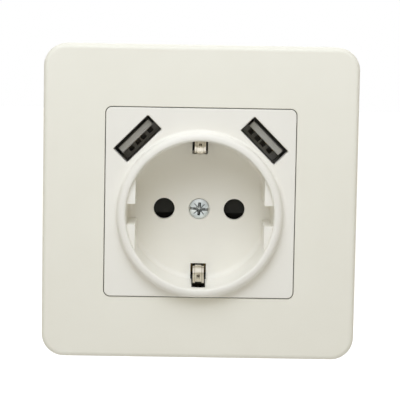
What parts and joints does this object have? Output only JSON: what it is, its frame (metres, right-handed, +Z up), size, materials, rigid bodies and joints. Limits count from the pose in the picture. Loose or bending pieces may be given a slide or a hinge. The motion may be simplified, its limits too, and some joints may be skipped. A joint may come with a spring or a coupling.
{
  "type": "usb wall socket",
  "caption": "Flush wall socket with a square frame, a round earthed plug recess behind a raised ring, and USB ports set across the upper corners of its cover.",
  "frame": {"origin": "centre of the wall plane, midway between the box screws on the back face of the support plate", "axes": "+Z up the wall, +X to the right seen from the room, +Y into the wall, so the front faces -Y"},
  "size_m": [0.083, 0.0463, 0.083],
  "materials": {
    "white_plastic": "satin moulded white",
    "base_plastic": "matt moulded dark grey",
    "black_plastic": "matt moulded black",
    "grey_plastic": "matt moulded grey",
    "dark_plastic": "matt black",
    "board_laminate": "green laminate",
    "can_sleeve": "dark sleeve",
    "zinc_steel": "zinc plated",
    "spring_steel": "drawn wire",
    "shell_steel": "tin plated",
    "nickel_strip": "nickel plated bronze strip",
    "contact_brass": "plain stamped brass"
  },
  "bodies": {
    "socket": {"cover_frame": "white_plastic", "socket_cover": "white_plastic", "cover_screw": "zinc_steel", "support_plate": "zinc_steel", "base_housing": "base_plastic", "rear_cover": "base_plastic", "housing_screws": "zinc_steel", "line_contact": "contact_brass", "neutral_contact": "contact_brass", "earth_strap": "nickel_strip", "terminal_blocks": "contact_brass", "shutter_springs": "spring_steel", "claw_pins": "zinc_steel", "usb_shell_left": "shell_steel", "usb_shell_right": "shell_steel", "usb_insulator_left": "grey_plastic", "usb_insulator_right": "grey_plastic", "usb_contacts_left": "contact_brass", "usb_contacts_right": "contact_brass", "usb_board": "board_laminate", "power_board": "board_laminate", "usb_transformer": "dark_plastic", "filter_capacitors": "can_sleeve", "controller_chip": "dark_plastic", "header_pins": "contact_brass"},
    "shutter": {"shutter": "black_plastic"},
    "terminal_screw_line": {"terminal_screw_line": "zinc_steel"},
    "terminal_screw_earth": {"terminal_screw_earth": "zinc_steel"},
    "terminal_screw_neutral": {"terminal_screw_neutral": "zinc_steel"},
    "claw_right": {"claw_right": "zinc_steel"},
    "claw_left": {"claw_left": "zinc_steel"},
    "claw_screw_right": {"claw_screw_right": "zinc_steel"},
    "claw_screw_left": {"claw_screw_left": "zinc_steel"},
    "claw_nut_right": {"claw_nut_right": "zinc_steel"},
    "claw_nut_left": {"claw_nut_left": "zinc_steel"}
  },
  "joints": [
    {"name": "shutter_slide", "type": "slide", "parent": "socket", "child": "shutter", "axis": [0, 0, 1], "range_m": [0, 0.0054], "stiffness_N_per_m": 120, "springref_m": -0.003, "deforming": ["shutter_springs"]},
    {"name": "terminal_line_clamp", "type": "slide", "parent": "socket", "child": "terminal_screw_line", "axis": [0, 0, 1], "range_m": [0, 0.0018]},
    {"name": "terminal_earth_clamp", "type": "slide", "parent": "socket", "child": "terminal_screw_earth", "axis": [0, 0, 1], "range_m": [0, 0.0018]},
    {"name": "terminal_neutral_clamp", "type": "slide", "parent": "socket", "child": "terminal_screw_neutral", "axis": [0, 0, 1], "range_m": [0, 0.0018]},
    {"name": "claw_screw_right_turn", "type": "hinge", "parent": "socket", "child": "claw_screw_right", "pos_m": [0.0252, 0, 0], "axis": [0, 1, 0], "range_deg": [0, 1260]},
    {"name": "claw_nut_right_slide", "type": "slide", "parent": "socket", "child": "claw_nut_right", "axis": [0, -1, 0], "range_m": [0, 0.00175]},
    {"name": "claw_right_swing", "type": "hinge", "parent": "socket", "child": "claw_right", "pos_m": [0.0233, 0.0028, 0], "axis": [0, 0, -1], "range_deg": [0, 18]},
    {"name": "claw_screw_left_turn", "type": "hinge", "parent": "socket", "child": "claw_screw_left", "pos_m": [-0.0252, 0, 0], "axis": [0, 1, 0], "range_deg": [0, 1260]},
    {"name": "claw_nut_left_slide", "type": "slide", "parent": "socket", "child": "claw_nut_left", "axis": [0, -1, 0], "range_m": [0, 0.00175]},
    {"name": "claw_left_swing", "type": "hinge", "parent": "socket", "child": "claw_left", "pos_m": [-0.0233, 0.0028, 0], "axis": [0, 0, 1], "range_deg": [0, 18]}
  ],
  "couplings": [
    {"joint": "claw_screw_right_turn", "follows": "claw_nut_right_slide", "rad_per_m": 12566},
    {"joint": "claw_right_swing", "follows": "claw_nut_right_slide", "rad_per_m": 179.52},
    {"joint": "claw_screw_left_turn", "follows": "claw_nut_left_slide", "rad_per_m": 12566},
    {"joint": "claw_left_swing", "follows": "claw_nut_left_slide", "rad_per_m": 179.52}
  ]
}
